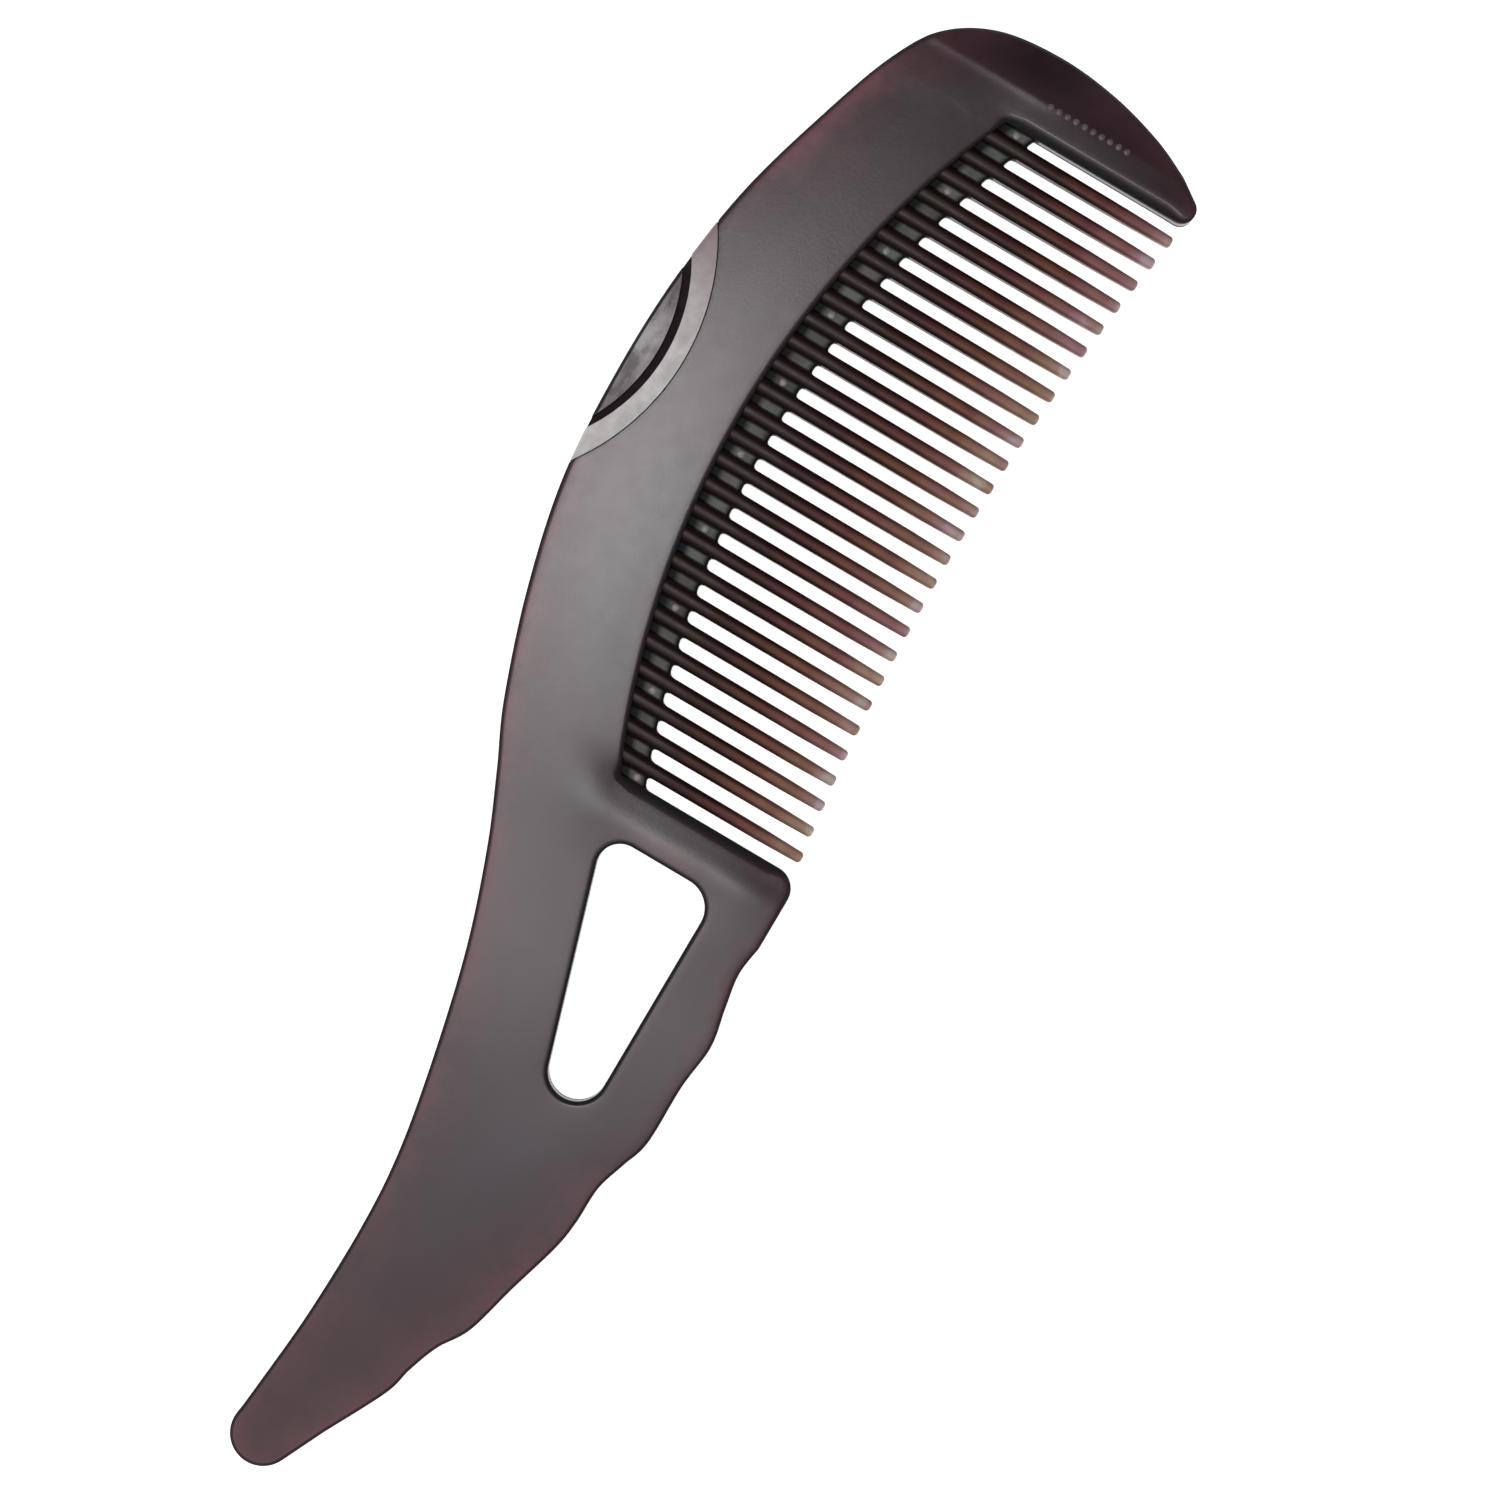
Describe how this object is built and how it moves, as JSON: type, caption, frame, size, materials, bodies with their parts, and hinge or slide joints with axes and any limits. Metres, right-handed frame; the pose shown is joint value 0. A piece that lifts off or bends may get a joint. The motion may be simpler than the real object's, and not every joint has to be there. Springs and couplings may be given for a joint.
{
  "type": "beard comb",
  "caption": "Handled beard comb lying flat: curved spine, long slim teeth between two guards, half-moon inlay, and a grip-waved handle with a finger hole.",
  "frame": {"origin": "centre of the comb's length and width, on the plane of its underside", "axes": "+X along the comb from the handle's tip to the head, the teeth point to -Y, +Z out of the upper face"},
  "size_m": [0.2, 0.0525, 0.0046],
  "materials": {
    "body_plastic": "satin dark brown with faint mauve and grey mottling",
    "tooth_plastic": "reddish dark brown, slightly see-through towards the tips",
    "moon_rim_satin": "light warm grey satin",
    "moon_pad_grey": "mid grey satin"
  },
  "bodies": {
    "root": {"comb_body": "body_plastic", "tooth_01": "tooth_plastic", "tooth_02": "tooth_plastic", "tooth_03": "tooth_plastic", "tooth_04": "tooth_plastic", "tooth_05": "tooth_plastic", "tooth_06": "tooth_plastic", "tooth_07": "tooth_plastic", "tooth_08": "tooth_plastic", "tooth_09": "tooth_plastic", "tooth_10": "tooth_plastic", "tooth_11": "tooth_plastic", "tooth_12": "tooth_plastic", "tooth_13": "tooth_plastic", "tooth_14": "tooth_plastic", "tooth_15": "tooth_plastic", "tooth_16": "tooth_plastic", "tooth_17": "tooth_plastic", "tooth_18": "tooth_plastic", "tooth_19": "tooth_plastic", "tooth_20": "tooth_plastic", "tooth_21": "tooth_plastic", "tooth_22": "tooth_plastic", "tooth_23": "tooth_plastic", "tooth_24": "tooth_plastic", "tooth_25": "tooth_plastic", "tooth_26": "tooth_plastic", "tooth_27": "tooth_plastic", "moon_rim_front": "moon_rim_satin", "moon_rim_back": "moon_rim_satin", "moon_pad_front": "moon_pad_grey", "moon_pad_back": "moon_pad_grey"}
  },
  "joints": []
}
